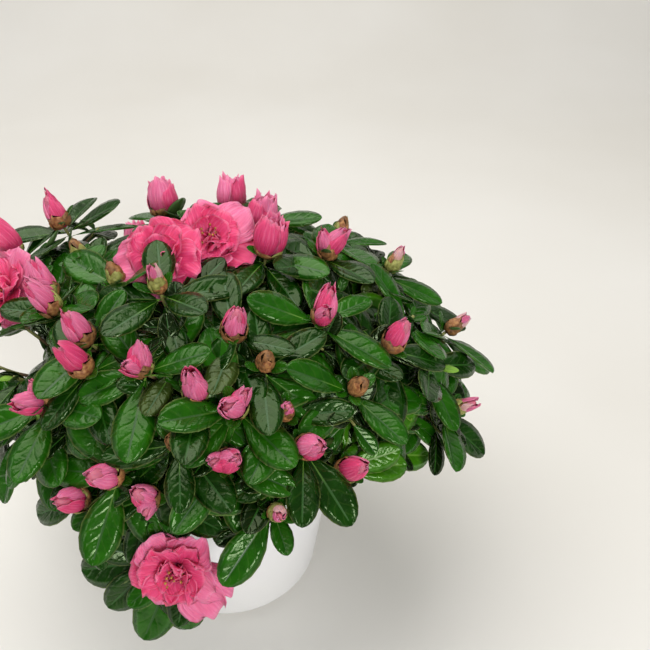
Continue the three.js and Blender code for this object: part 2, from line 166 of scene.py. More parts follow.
bm = bmesh.new()
bmesh.ops.create_grid(bm, x_segments=1, y_segments=1, size=1)
bmesh.ops.scale(bm, vec=(3, 1.5, 1), verts=bm.verts)
bmesh.ops.translate(bm, vec=(0, -0.6, 0), verts=bm.verts)
back = [edge for edge in bm.edges if all(v.co.y > 0.8 for v in edge.verts)]
BEND_STEPS, BEND_PIECE = 10, 0.13
for step in range(BEND_STEPS):
    made = bmesh.ops.extrude_edge_only(bm, edges=back)["geom"]
    tip = verts_of(made)
    rise = rad(90 * (step + 0.45) / BEND_STEPS)
    ahead = (0, BEND_PIECE * math.cos(rise), BEND_PIECE * math.sin(rise))
    bmesh.ops.translate(bm, vec=ahead, verts=tip)
    edges = [e for e in made if isinstance(e, bmesh.types.BMEdge)]
    back = [e for e in edges if all(v in tip for v in e.verts)]
made = bmesh.ops.extrude_edge_only(bm, edges=back)["geom"]
bmesh.ops.translate(bm, vec=(0, 0, 2), verts=verts_of(made))
bmesh.ops.recalc_face_normals(bm, faces=bm.faces)
sweep = bpy.data.objects.new("sweep", mesh_of(bm, "sweep", board.material))
bpy.context.collection.objects.link(sweep)


# %% Light
def soft_box(name, place, target, size, power, shade):
    lamp = bpy.data.lights.new(name, "AREA")
    lamp.shape, lamp.size, lamp.energy, lamp.color = "DISK", size, power, colour(shade)[:3]
    box = bpy.data.objects.new(name, lamp)
    box.location = place
    box.rotation_euler = (Vector(target) - Vector(place)).to_track_quat("-Z", "Y").to_euler()
    bpy.context.collection.objects.link(box)


soft_box("overhead", (-0.3, 0.3, 1.5), (0, 0, 0.1), 1.8, 23, 0xFFFDFA)
soft_box("front_fill", (0.7, -1.5, 1.0), (0, 0, 0.1), 0.8, 21, 0xFFFFFF)
soft_box("left_fill", (-1.7, -0.4, 0.9), (0, 0, 0.1), 1.2, 6, 0xFFFFFF)
soft_box("right_fill", (1.6, 0.9, 1.2), (0, 0, 0.1), 1.2, 2.5, 0xFFFFFF)
world = bpy.data.worlds.new("surrounding")
world.use_nodes = True
glow = world.node_tree.nodes["Background"].inputs
glow["Color"].default_value, glow["Strength"].default_value = colour(0xFAF9F6), 0.17
bpy.context.scene.world = world
print("floor and", len(bpy.data.lights), "lights")

# %% [markdown]
# ## Shapes that are used many times
# Leaves, petals, scales and twigs each repeat a simple shape. An object for every leaf would be slow
# and instances can be lost later, so a shape is modelled once with mesh operators, read into arrays,
# bent to each place with array sums, and all the copies of a kind are joined into one mesh.


# %% A shape as arrays, and a heap that joins shapes into one mesh
class Shape:
    """A modelled mesh as arrays: points, face corners, corners per face, finish and place."""

    def __init__(self, bm, slot_of=lambda face: 0):
        bm.normal_update()
        place = bm.loops.layers.uv.active
        self.points = np.array([v.co[:] for v in bm.verts])
        self.corners = np.array([loop.vert.index for face in bm.faces for loop in face.loops])
        self.sizes = np.array([len(face.loops) for face in bm.faces])
        self.slots = np.array([slot_of(face) for face in bm.faces])
        self.uv = np.array([loop[place].uv[:] for face in bm.faces for loop in face.loops])
        bm.free()


class Heap:
    """Joins placed shapes, each with its own points and one finish or several, into one mesh."""

    def __init__(self):
        self.parts, self.count = [], 0

    def add(self, shape, points, slots=None):
        slots = shape.slots if slots is None else np.broadcast_to(slots, len(shape.sizes))
        self.parts.append((shape, points, slots, self.count))
        self.count += len(points)

    def make(self, name, finishes, slot, replaced):
        mesh = bpy.data.meshes.new(name)
        corners = np.concatenate([shape.corners + first for shape, _, _, first in self.parts])
        sizes = np.concatenate([shape.sizes for shape, _, _, _ in self.parts])
        mesh.vertices.add(self.count)
        mesh.vertices.foreach_set("co", np.concatenate([p for _, p, _, _ in self.parts]).ravel())
        mesh.loops.add(len(corners))
        mesh.loops.foreach_set("vertex_index", corners)
        mesh.polygons.add(len(sizes))
        mesh.polygons.foreach_set("loop_start", np.concatenate([[0], np.cumsum(sizes)[:-1]]))
        mesh.polygons.foreach_set("loop_total", sizes)
        mesh.polygons.foreach_set("material_index", np.concatenate([s for _, _, s, _ in self.parts]))
        mesh.uv_layers.new(name="place")
        uv = np.concatenate([shape.uv for shape, _, _, _ in self.parts])
        mesh.uv_layers["place"].data.foreach_set("uv", uv.ravel())
        mesh.update(calc_edges=True)
        mesh.validate()
        mesh.shade_smooth()
        for finish in finishes:
            mesh.materials.append(finish)
        put(mesh, name, replaced)


def put(mesh, name, replaced):
    """Puts a finished mesh into the scene as a piece of the plant."""
    piece = bpy.data.objects.new(name, mesh)
    bpy.context.collection.objects.link(piece)
    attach(piece, "root")
    if replaced:
        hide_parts(*replaced)
    mesh.calc_loop_triangles()
    print(f"{name}: {len(mesh.loop_triangles)} triangles")


# %% A thin closed sheet and a closed tube, before they are bent
def sheet_shape(across, along):
    """A sheet over x -1 to 1 and y 0 to 1, with its back at z 0 and its face at z 1."""
    bm = bmesh.new()
    bmesh.ops.create_grid(bm, x_segments=across, y_segments=along, size=1)
    flat = bm.faces[:]
    made = bmesh.ops.extrude_face_region(bm, geom=flat, use_keep_orig=True)["geom"]
    bmesh.ops.translate(bm, vec=(0, 0, 1), verts=verts_of(made))
    bmesh.ops.recalc_face_normals(bm, faces=bm.faces)
    place = bm.loops.layers.uv.new("place")
    for v in bm.verts:
        v.co.y = (v.co.y + 1) / 2
        for loop in v.link_loops:
            loop[place].uv = ((v.co.x + 1) / 2, v.co.y)
    return Shape(bm)


def tube_shape(sides, rows):
    """A tube of radius 1 whose rings lie at z 0, 1, 2 and so on, closed at both ends."""
    bm = bmesh.new()
    bmesh.ops.create_circle(bm, cap_ends=True, segments=sides, radius=1)
    bmesh.ops.reverse_faces(bm, faces=bm.faces)
    face = bm.faces[:]
    for _ in range(rows):
        made = bmesh.ops.extrude_face_region(bm, geom=face)["geom"]
        bmesh.ops.translate(bm, vec=(0, 0, 1), verts=verts_of(made))
        face = [f for f in made if isinstance(f, bmesh.types.BMFace)]
    caps = [f for f in bm.faces if len(f.verts) == sides]
    loose = [f for f in caps if 0.5 < f.calc_center_median().z < rows - 0.5]
    bmesh.ops.delete(bm, geom=loose, context="FACES_ONLY")
    bmesh.ops.recalc_face_normals(bm, faces=bm.faces)
    place = bm.loops.layers.uv.new("place")
    for v in bm.verts:
        for loop in v.link_loops:
            loop[place].uv = (0.5, v.co.z / rows)
    return Shape(bm)


def ball_shape(subdivisions):
    """A small ball of radius 1 made of triangles."""
    bm = bmesh.new()
    bmesh.ops.create_icosphere(bm, subdivisions=subdivisions, radius=1, calc_uvs=False)
    bm.loops.layers.uv.new("place")
    return Shape(bm)


tubes = {}


def unit(v):
    v = np.asarray(v, float)
    return v / np.linalg.norm(v)


def tube_along(heap, line, radii, sides, slot=0, relief=None):
    """Bends a tube along a line of points. relief, where given, says how far each point stands out."""
    line, radii = np.asarray(line, float), np.asarray(radii, float)
    rows = len(line) - 1
    if (sides, rows) not in tubes:
        tubes[(sides, rows)] = tube_shape(sides, rows)
    shape = tubes[(sides, rows)]
    ways = np.gradient(line, axis=0)
    ways /= np.linalg.norm(ways, axis=1)[:, None]
    side = np.cross(ways[0], (0.31, 0.92, 0.23))
    us = []
    for way in ways:
        side = unit(side - way * side.dot(way))
        us.append(side)
    us = np.array(us)
    vs = np.cross(ways, us)
    row = np.rint(shape.points[:, 2]).astype(int)
    out = us[row] * shape.points[:, :1] + vs[row] * shape.points[:, 1:2]
    points = line[row] + out * radii[row][:, None]
    if relief:
        points += out * np.array([relief(p) for p in points])[:, None]
    heap.add(shape, points, slot)


scale_sheet, bud_sheet, bloom_sheet = sheet_shape(3, 4), sheet_shape(8, 7), sheet_shape(18, 12)
print("sheets of", [len(sheet.sizes) for sheet in (scale_sheet, bud_sheet, bloom_sheet)], "faces")

# %% [markdown]
# ## The pot
# A plain tapering pot of satin white plastic with a rounded foot and a soft lip. Its profile could be
# turned by hand in the editor; here a short chain of points is spun once round the upright axis, with
# more segments than the frame's own pot, so that its outline is smooth. The same numbers give the
# same size.

# %% Pot
POT_HEIGHT, POT_BASE, POT_RIM = 122 * MM, 57 * MM, 75 * MM
POT_WALL, POT_FLOOR, FOOT_ROUND = 3.2 * MM, 4 * MM, 9 * MM
SOIL_TOP = POT_HEIGHT - 13 * MM


def pot_radius(z):
    return POT_BASE + (POT_RIM - POT_BASE) * z / POT_HEIGHT


def rounded(x, z, radius, start, end, steps):
    """Points of an arc from one angle to another, in degrees."""
    turns = [rad(start + (end - start) * n / steps) for n in range(steps + 1)]
    return [(x + radius * math.cos(t), z + radius * math.sin(t)) for t in turns]


def spun(profile, steps):
    """A closed body: a profile from axis to axis, spun once round."""
    bm = bmesh.new()
    chain = [bm.verts.new((x, 0, z)) for x, z in profile]
    edges = [bm.edges.new(pair) for pair in zip(chain, chain[1:])]
    turn = dict(cent=(0, 0, 0), axis=(0, 0, 1), angle=2 * math.pi, steps=steps, use_merge=True)
    bmesh.ops.spin(bm, geom=chain + edges, **turn)
    bmesh.ops.remove_doubles(bm, verts=bm.verts, dist=1e-6)
    bmesh.ops.recalc_face_normals(bm, faces=bm.faces)
    return bm


lip = POT_WALL / 2
foot = [(pot_radius(z) + x, z) for x, z in rounded(-FOOT_ROUND, FOOT_ROUND, FOOT_ROUND, -90, 0, 9)]
walls = [(pot_radius(z * MM), z * MM) for z in (30, 52, 75, 98)]
rim = rounded(POT_RIM - lip, POT_HEIGHT - lip, lip, 0, 180, 8)
inside = [(pot_radius(z * MM) - POT_WALL, z * MM) for z in (98, 60, 8)]
floor = [(POT_BASE - 10 * MM, POT_FLOOR), (0, POT_FLOOR)]
pot_bm = spun([(0, 0), (POT_BASE - 22 * MM, 0), *foot, *walls, *rim, *inside, *floor], 128)
print("planter", len(pot_bm.faces), "faces")

glaze = Finish("satin_white_plastic", 0xECECEE, 0.34, Specular_IOR_Level=0.5, Coat_Weight=0.12)
cloud = glaze.spread(glaze.noise(9, 2), 0.35, 0.65)
fine = glaze.noise(900, 2)
glaze.give(
    Base_Color=glaze.mix(cloud, colour(0xE9E9EE), colour(0xF0EFEE)),
    Roughness=glaze.spread(glaze.noise(60), 0.3, 0.7, 0.3, 0.4),
    Normal=glaze.bump(fine, 0.00006, 0.5),
)
put(mesh_of(pot_bm, "planter", glaze.material), "planter", ["pot"])

# %% [markdown]
# ## The potting mix
# Dark peat with crumbs, a little below the rim and almost hidden. A flat disc would show between the
# stems, so the top of a spun body is given lumps by noise, and small browner crumbs lie on it.
# Particles could strew them; a spiral of small balls at the same height as the lumps needs no
# simulation.

# %% Potting mix
def mix_height(x, y):
    lumps = noise.fractal(Vector((x, y, SOIL_TOP)) * 160, 1.0, 2.0, 3)
    return SOIL_TOP + 1.6 * MM * lumps + 2.5 * MM * math.exp(-((math.hypot(x, y) / 0.02) ** 2))


mix_bottom = POT_FLOOR + 4.3 * MM
mix_wall = POT_WALL + 0.6 * MM
rings = [(pot_radius(SOIL_TOP) - mix_wall - n * 4.5 * MM, SOIL_TOP) for n in range(15)]
under = [(0, mix_bottom), (pot_radius(mix_bottom) - mix_wall, mix_bottom)]
mix_bm = spun([*under, *rings, (0, SOIL_TOP)], 56)
for v in mix_bm.verts:
    out = math.hypot(v.co.x, v.co.y)
    if v.co.z > mix_bottom + MM and out < pot_radius(SOIL_TOP) - mix_wall - MM:
        v.co.z = mix_height(v.co.x, v.co.y)

peat = Finish("dark_peat", 0x2A201A, 0.95)
grain = peat.noise(420, 6)
peat.give(
    Base_Color=peat.mix(peat.spread(grain, 0.35, 0.7), colour(0x1C1410), colour(0x4A382B)),
    Normal=peat.bump(grain, 0.0012),
)
put(mesh_of(mix_bm, "potting_mix", peat.material), "potting_mix", ["potting_soil"])

# %% Crumbs on the mix
crumb, crumbs = ball_shape(1), Heap()
GOLDEN_ANGLE = rad(137.50776)
CRUMBS, CRUMB_RING, ROUND_TRUNK = 220, 60 * MM, 12
for n in range(ROUND_TRUNK, CRUMBS):
    turn, out = n * GOLDEN_ANGLE, CRUMB_RING * math.sqrt((n + 0.5) / CRUMBS)
    size = (0.7 + 0.8 * abs(noise.noise(Vector((n * 0.7, 0, 0))))) * MM
    x, y = out * math.cos(turn), out * math.sin(turn)
    lump = crumb.points * np.array([size, size * 0.8, size * 0.7])
    crumbs.add(crumb, np.array((x, y, mix_height(x, y))) + lump, 0)
fibre_crumb = Finish("brown_crumb", 0x3D2E22, 0.95)
speck = fibre_crumb.noise(800, 3)
fibre_crumb.give(Base_Color=fibre_crumb.mix(speck, colour(0x241A14), colour(0x5E4633)))
crumbs.make("crumbs", [fibre_crumb.material], "soil", [])

# %% [markdown]
# ## The rule that the shrub grows by
# The tips of the shoots lie on a flattened dome, spaced evenly by the golden angle, which is how a
# pinched plant fills out. Points could be scattered by chance, but that leaves holes. The same few
# numbers as in the frame give the same shoots here, so every main twig ends where the frame's own
# does.

# %% The crown's driving sizes
CROWN_CENTRE = Vector((2, 14, 150)) * MM
HALF_WIDTH, HALF_DEPTH, RISE, DROP = 136 * MM, 120 * MM, 84 * MM, 50 * MM
BOXINESS = 2.3
SHOOTS = 88
LOWEST_LEAN = rad(99)
SHOOT_LIFT = 0.62
SKIRT, SKIRT_RISE, SKIRT_TURN, SKIRT_SPREAD = 109 * MM, 42 * MM, rad(-50), rad(26)
FAR_SIDE = 0.62  # beyond this share towards the back, chance deals out the blossom
OWN_DEPTH = 2.5 * MM  # how deep a shoot's tip lies in its own mass
HANGING = rad(105)  # a shoot that leans further hangs down over the pot, with its leaves
UP = Vector((0, 0, 1))
RINGS = [("top", 1, 0, 0), ("upper", 6, rad(42), rad(30)), ("side", 9, rad(82), rad(30))]
BLOSSOMS = """
bloom 90 3 .98, bloom -152 12 .98, bloom -175 50 1.05, bloom -94 112 1.12, opening 116 38 1.04,
opening 60 22 1, opening 165 50 1.17, bud 149 44 1.17, opening 88 37 1.03, bud -28 52 1, bud -76 32 1,
bud -130 39 1, bud -89 48 .97, bud -57 80 1, bud -116 88 1, bud -123 46 1, pair 8 27 1.02,
pair -42 35 1.02, pair -167 39 1, pair -130 59 1, pair -79 52 1, pair -83 67 1, pair -99 81 1,
pair -105 42 1.02, tight -112 21 1.1, tight -154 23 .98, tight 16 49 1, tight -69 42 1, tight -68 56 .97,
tight -48 56 1, tight -20 86 1.06, tight 3 73 1.05, tight -74 83 1.07, tight 38 40 1, tight 171 33 1,
tight -93 61 1, bud -65 67 1, bud -107 74 1, bud -155 39 1, opening 0 13 1.02
"""


# %% Even draws, places on the dome, and the shoots
MODULUS, FACTOR = 2147483647, 16807  # Park and Miller's even draws
SEED_STEP, SEED_START = 7919, 104729
LEAF_SEED, TWIG_SEED, SIDE_SEED, BLOSSOM_SEED = 1000, 3000, 5000, 7000


def drawing(seed):
    """Even draws between two values, the same for the same seed."""
    state = (seed * SEED_STEP + SEED_START) % MODULUS

    def draw(low, high):
        nonlocal state
        state = state * FACTOR % MODULUS
        return low + (high - low) * state / MODULUS

    draw(0, 1), draw(0, 1)
    return draw


def direction(turn, lean):
    return Vector((math.sin(lean) * math.cos(turn), math.sin(lean) * math.sin(turn), math.cos(lean)))


def skirt(p):
    """The height under which no leaf hangs: the crown is cut away a little at its front right."""
    turn = math.atan2(p[1] - CROWN_CENTRE.y, p[0] - CROWN_CENTRE.x)
    out = min(1, math.hypot(p[0] - CROWN_CENTRE.x, p[1] - CROWN_CENTRE.y) / HALF_WIDTH)
    return SKIRT + SKIRT_RISE * out * math.exp(-(((turn - SKIRT_TURN) / SKIRT_SPREAD) ** 2))


def dome_point(turn, lean, reach):
    d = direction(turn, lean)
    swell = (abs(math.sin(lean)) ** BOXINESS + abs(math.cos(lean)) ** BOXINESS) ** (-1 / BOXINESS)
    upright = RISE if d.z > 0 else DROP
    return CROWN_CENTRE + Vector((d.x * HALF_WIDTH, d.y * HALF_DEPTH, d.z * upright)) * reach * swell


def grow_shoots():
    shoots = []
    for i in range(SHOOTS):
        draw = drawing(i)
        level = 1 - (i + 0.5) / SHOOTS * (1 - math.cos(LOWEST_LEAN))
        reach, dealt = draw(0.9, 1.04), draw(0, 1)
        kinds = ["bud", "tight", "pair", "opening", "bloom"]
        kind = next((k for n, k in enumerate(kinds) if dealt < 0.1 * (n + 1)), "leafy")
        shoot = dict(seed=i, turn=i * GOLDEN_ANGLE, lean=math.acos(level), reach=reach)
        shoots.append(dict(shoot, kind=kind, placed=False))
    for words in BLOSSOMS.replace("\n", " ").split(","):
        kind, turn, lean, reach = words.split()
        turn, lean = rad(float(turn)), rad(float(lean))
        free, way = [s for s in shoots if not s["placed"]], direction(turn, lean)
        nearest = max(free, key=lambda s: way.dot(direction(s["turn"], s["lean"])))
        nearest.update(kind=kind, turn=turn, lean=lean, reach=float(reach), placed=True)
    for shoot in shoots:
        if not shoot["placed"] and direction(shoot["turn"], shoot["lean"]).y < FAR_SIDE:
            shoot["kind"] = "leafy"
    return shoots


shoots = grow_shoots()
print(len(shoots), "shoots,", sum(s["kind"] != "leafy" for s in shoots), "of them with blossom")

# %% The masses and their own spaces
masses = []
for ring, count, lean, turn in RINGS:
    for n in range(count):
        place = (turn + n * 2 * math.pi / count, lean)
        name = f"{ring}_{n + 1}" if count > 1 else ring
        start, fork, centre = (dome_point(*place, reach) for reach in (0.42, 0.57, 0.72))
        masses.append(dict(name=name, ring=ring, turn=place[0], start=start, fork=fork, centre=centre))


def depth_in_space(point, mass):
    """How deep a point lies in the part of the crown that is nearest to this mass."""
    own = (point - mass["centre"]).length_squared
    depths = []
    for other in masses:
        if other is not mass:
            gap = (point - other["centre"]).length_squared - own
            depths.append(gap / (2 * (other["centre"] - mass["centre"]).length))
    return min(depths)


for shoot in shoots:
    tip = dome_point(shoot["turn"], shoot["lean"], shoot["reach"])
    mass = min(masses, key=lambda m: (tip - m["centre"]).length)
    while depth_in_space(tip, mass) < OWN_DEPTH:
        tip = tip.lerp(mass["centre"], 0.04)
    axis = (direction(shoot["turn"], shoot["lean"]) + UP * SHOOT_LIFT).normalized()
    shoot.update(tip=tip, mass=mass, axis=axis)
print(len(masses), "masses")

# %% [markdown]
# ## The woody frame
# A short trunk with a root flare parts into three arms, a leader and fifteen boughs, all with rough
# grey brown bark. Skin modifiers round such joints off but move them, so each limb is a tube bent
# along the frame's own curve, with ridges and knuckles standing out of it, and the next limb starts
# inside it.

# %% Trunk, arms and boughs
def bezier(a, b, c, count):
    shares = [n / (count - 1) for n in range(count)]
    return [a * (1 - t) ** 2 + b * (2 * t * (1 - t)) + c * t**2 for t in shares]


def along_line(line, share):
    place = share * (len(line) - 1)
    n = min(int(place), len(line) - 2)
    return line[n].lerp(line[n + 1], place - n)


def ridges(height, scale=420):
    """Bark that stands out by up to so much, in long broken ridges."""

    def relief(p):
        v = Vector((p[0], p[1], p[2] * 0.3)) * scale
        return height * (abs(noise.noise(v)) * 1.6 + 0.5 * noise.noise(v * 2.7) - 0.3)

    return relief


def taper(start, end, count, flare=0.0, reach=0.25):
    shares = np.linspace(0, 1, count)
    return start + (end - start) * shares + flare * np.maximum(0, 1 - shares / reach) ** 2


wood = Heap()
foot = Vector((0, 0, SOIL_TOP - 1.5 * MM))
trunk_top = Vector((2, -1.5, 24.3)) * MM + Vector((0, 0, SOIL_TOP))
spine = bezier(foot, Vector((0, 0, SOIL_TOP + 12 * MM)), trunk_top, 16)
tube_along(wood, spine, taper(7 * MM, 7.2 * MM, 16, 4 * MM, 0.4), 28, relief=ridges(0.9 * MM))
arms = []
for n in range(3):
    turn = RINGS[1][3] + (n + 0.25) * 2 * math.pi / 3
    out = direction(turn, rad(42))
    start = along_line(spine, 0.82)
    line = bezier(start, start + out * 13.5 * MM, start + out * 27 * MM, 14)
    tube_along(wood, line, taper(5.4 * MM, 4.2 * MM, 14, 1.2 * MM), 20, relief=ridges(0.6 * MM))
    arms.append((turn, out, line))

for mass in masses:
    turn, out, line = max(arms, key=lambda a: math.cos(a[0] - mass["turn"]))
    start, way = {
        "top": (spine[-2], UP),
        "upper": (along_line(line, 0.9), out),
        "side": (along_line(line, 0.62), direction(mass["turn"], rad(70))),
    }[mass["ring"]]
    reach = (mass["start"] - start).length
    curve = bezier(start, start + way * 0.35 * reach, mass["start"], 18) + [
        mass["start"].lerp(mass["fork"], share) for share in (0.25, 0.5, 0.75, 1)
    ]
    radii = taper(3.0 * MM, 1.7 * MM, len(curve), 0.9 * MM, 0.15)
    tube_along(wood, curve, radii, 14, relief=ridges(0.35 * MM, 650))

bark = Finish("grey_brown_bark", 0x6B5A45, 0.85)
fibre = bark.add("Mapping", {"Vector": bark.where(), "Scale": (1, 1, 0.28)}).outputs[0]
streaks = bark.noise(700, 5, fibre)
patches = bark.noise(90, 2)
bark.give(
    Base_Color=bark.mix(
        bark.spread(patches, 0.45, 0.65),
        bark.mix(bark.spread(streaks, 0.35, 0.7), colour(0x4A3B2C), colour(0x8A775E)),
        colour(0x8F8872),
    ),
    Normal=bark.bump(streaks, 0.0006),
)
limb_nodes = [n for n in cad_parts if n.startswith(("trunk", "arm_", "leader", "bough_"))]
wood.make("woody_frame", [bark.material], "bark", limb_nodes)

# %% [markdown]
# ## Twigs
# Each mass forks into its shoots, and each shoot puts out side twigs a little below its tip. The old
# part of a twig is brown and the new growth green. One long tube could change its colour on the way,
# but plain colours keep better, so a brown twig and its green shoot are two tubes of one piece, each
# with its own finish, and the green one starts inside the brown.

# %% Lines of the twigs
BENDS = (0.45, 0.3, 0.15, 0.01)


def in_pot(p, gap=1.5 * MM):
    return p[2] < POT_HEIGHT + gap and math.hypot(p[0], p[1]) < pot_radius(max(p[2], 0)) + gap


def cross_axes(axis):
    u = Vector((-axis.y, axis.x, 0))
    u = u.normalized() if u.length > 1e-3 else Vector((0, 1, 0))
    return u, axis.cross(u)


def main_twig(shoot):
    fork, tip, axis = shoot["mass"]["fork"], shoot["tip"], shoot["axis"]
    reach = (tip - fork).length
    for bow in BENDS:
        line = bezier(fork, tip - axis * bow * reach, tip, 13)
        if not any(in_pot(p) for p in line):
            break
    return line


sprays = []  # each has a line, an axis, a kind and the size of its leaves
for shoot in shoots:
    line = main_twig(shoot)
    sprays.append(dict(shoot, line=line, size=1.0, main=True))
    draw = drawing(TWIG_SEED + shoot["seed"])
    u, v = cross_axes(shoot["axis"])
    heading = draw(0, 2 * math.pi)
    length = sum((b - a).length for a, b in zip(line, line[1:]))
    hanging = shoot["lean"] > HANGING
    for n in range(3 if hanging or shoot["seed"] % 3 == 0 else 2):
        angle = heading + n * rad(140) + draw(-0.4, 0.4)
        if hanging:
            angle = (rad(-50), rad(-112), rad(-165))[n]
        side = u * math.cos(angle) + v * math.sin(angle)
        down = (8 if hanging else draw(20, 30)) * MM
        root = along_line(line, max(0.25, 1 - down / length))
        rise = 0 if hanging else draw(2, 11)
        tip = root + side * draw(11, 18) * MM + shoot["axis"] * rise * MM
        axis = shoot["axis"] if hanging else (shoot["axis"] + side * 0.55).normalized()
        bow = root + side * 6 * MM + shoot["axis"] * 0.2 * rise * MM
        curve = bezier(root, bow, tip, 7)
        if any(in_pot(p) for p in curve):
            continue
        spray = dict(seed=SIDE_SEED + shoot["seed"] * 3 + n, kind="leafy", tip=tip, axis=axis)
        spray.update(line=curve, size=1 if hanging else draw(0.6, 0.8), main=False)
        spray.update(mass=shoot["mass"], lean=shoot["lean"], fan=angle if hanging else None)
        sprays.append(spray)
print(len(sprays), "sprays before the gap is cut")

# %% [markdown]
# ## A gap at the left
# No real crown is closed: light shows between two boughs at the left. Leaves could be taken out by
# hand afterwards; it is simpler to name a line of sight through the crown, and to let no leafy spray
# end and no leaf lie near it. The frame's own solids don't have this gap.

# %% A gap between two boughs
LEFT_GAP, GAP_WIDTH = Vector((-107, -7, 180)) * MM, 12 * MM
GAP_WAY = Vector((-0.357, 0.746, -0.562))


def in_gap(p):
    """Whether a point lies in the gap between two boughs at the crown's left, which widens outwards."""
    aside = Vector(p) - LEFT_GAP
    aside -= GAP_WAY * aside.dot(GAP_WAY)
    if aside.x < 0:
        aside.x *= 0.5
    return aside.length < GAP_WIDTH


sprays = [s for s in sprays if s["kind"] != "leafy" or not in_gap(s["tip"])]
print(len(sprays), "sprays")

# %% Twigs and shoots
twigs = Heap()
for spray in sprays:
    line = spray["line"]
    green, root, end, sides, thick = (4, 1.35, 1.1, 6, 1.05) if spray["main"] else (3, 0.9, 0.8, 5, 0.75)
    brown = line[: len(line) - green + 1]
    tube_along(twigs, brown, taper(root * MM, end * MM, len(brown)), sides)
    tube_along(twigs, line[-green - 1 :], taper(thick * MM, thick * MM * 0.9, green + 1), 6, slot=1)

old_twig = Finish("brown_twig", 0x6E5238, 0.7)
specks = old_twig.noise(900, 4)
speckled = old_twig.spread(specks, 0.35, 0.7)
old_twig.give(
    Base_Color=old_twig.mix(speckled, colour(0x54402C), colour(0x8A6B48)),
    Normal=old_twig.bump(specks, 0.0003),
)
new_twig = Finish("green_shoot", 0x7F8B45, 0.55)
down_hair = new_twig.noise(1400, 3)
new_twig.give(
    Base_Color=new_twig.mix(down_hair, colour(0x66773A), colour(0xA39A5B)),
    Normal=new_twig.bump(down_hair, 0.0002),
)
twigs.make("twigs", [old_twig.material, new_twig.material], "bark", [])

# %% [markdown]
# ## Room for main twigs and blossom
# A crowded leaf is turned aside by what it meets. Physics could do that, slowly; here each leaf is
# tried as a coarse outline, and one that would touch a main twig, a bud or a bloom is folded up,
# swung round, made smaller or left out. This has a limit that a reader should know: leaves are never
# tried against each other, so most of them run through a neighbour. Twigs, buds and blooms take their
# places untried, side twigs claim no room at all, and a coarse outline lets some leaves into the
# scales and petals of buds. Whoever grows this crown again should test leaf against leaf too.

# %% Outlines that leaves keep out of
class Room:
    """The outlines of main twigs, buds and blooms, and a test for a leaf's outline against them."""

    def __init__(self):
        self.centres, self.reaches, self.trees = [], [], []

    def outline(self, points, faces):
        centre = points.mean(axis=0)
        reach = np.linalg.norm(points - centre, axis=1).max()
        return centre, reach, BVHTree.FromPolygons(points.tolist(), faces)

    def claim(self, points, faces):
        lists = (self.centres, self.reaches, self.trees)
        for known, value in zip(lists, self.outline(points, faces)):
            known.append(value)

    def free(self, points, faces):
        centre, reach, tree = self.outline(points, faces)
        gaps = np.linalg.norm(np.array(self.centres) - centre, axis=1)
        near = np.nonzero(gaps < np.array(self.reaches) + reach)[0]
        return not any(self.trees[n].overlap(tree) for n in near)


room = Room()


def disc(centre, axis, radius, height, corners=8):
    """A coarse cone from a centre that opens along an axis."""
    u, v = cross_axes(Vector(axis))
    turns = [2 * math.pi * n / corners for n in range(corners)]
    rise = Vector(axis) * height
    ring = [Vector(centre) + (u * math.cos(t) + v * math.sin(t)) * radius + rise for t in turns]
    faces = [(0, n + 1, (n + 1) % corners + 1) for n in range(corners)]
    return np.array([centre, *ring], float), faces


for spray in sprays:
    if spray["main"]:
        line = np.array(spray["line"])
        side = np.array(cross_axes(spray["axis"])[0]) * 1.1 * MM
        strip = np.concatenate([line - side, line + side])
        rows = len(line)
        faces = [(n, n + 1, rows + n + 1, rows + n) for n in range(rows - 1)]
        room.claim(strip, faces)
print(len(room.trees), "main twigs claim their room")

# %% [markdown]
# ## Petals, buds and blooms
# An azalea's closed bud is a spindle of wrapped petals in a cup of brown scales; a half-open one is a
# goblet with a frilled mouth; a double bloom has four tiers of ruffled petals round deep pink
# stamens. Each petal is the same thin closed sheet, rolled round the bud or laid out from its heart
# by array sums, because sculpting each by hand would never give forty that differ.

# %% Helpers that bend a sheet into a petal or a scale
def frame_of(axis, heading):
    """Unit vectors of a flower: two across it, turned by a heading, and one along its axis."""
    u, v = cross_axes(Vector(axis))
    a = u * math.cos(heading) + v * math.sin(heading)
    b = v * math.cos(heading) - u * math.sin(heading)
    return np.array([a, b, Vector(axis)], float)


def wrapped(shape, base, axis, angle, length, girth, span, thick, lift=0.0, flare=0.0, ruffle=0.0,
            phase=0.0, point=0.5, lobe=0.0):
    """A petal or scale rolled round an axis. girth gives the radius at a share of the length."""
    x, y, z = shape.points.T
    rise = y * (1 - 0.16 * x**2 * y) + ruffle / MM * 0.045 * np.sin(7 * x + phase) * y**5
    width = np.interp(y, (0, 0.25, 0.6, 0.85, 1), (0.55, 0.85, 1, 0.6 + 0.5 * point, point))
    radius = girth(rise) + lift + 0.5 * MM * (x + 1) / 2 + z * thick
    radius = radius + flare * np.clip(rise - 0.7, 0, 1) ** 2 * 11
    radius = radius + ruffle * np.clip(rise - 0.55, 0, 1) * 2 * np.sin(5.2 * x + phase)
    radius = radius + lobe * (1 - x**2) * np.sin(np.pi * np.clip(rise, 0, 1))
    turn = angle + x * span * width
    f = frame_of(axis, 0)
    out = np.cos(turn)[:, None] * f[0] + np.sin(turn)[:, None] * f[1]
    return np.array(base) + out * radius[:, None] + f[2] * (rise * length)[:, None]


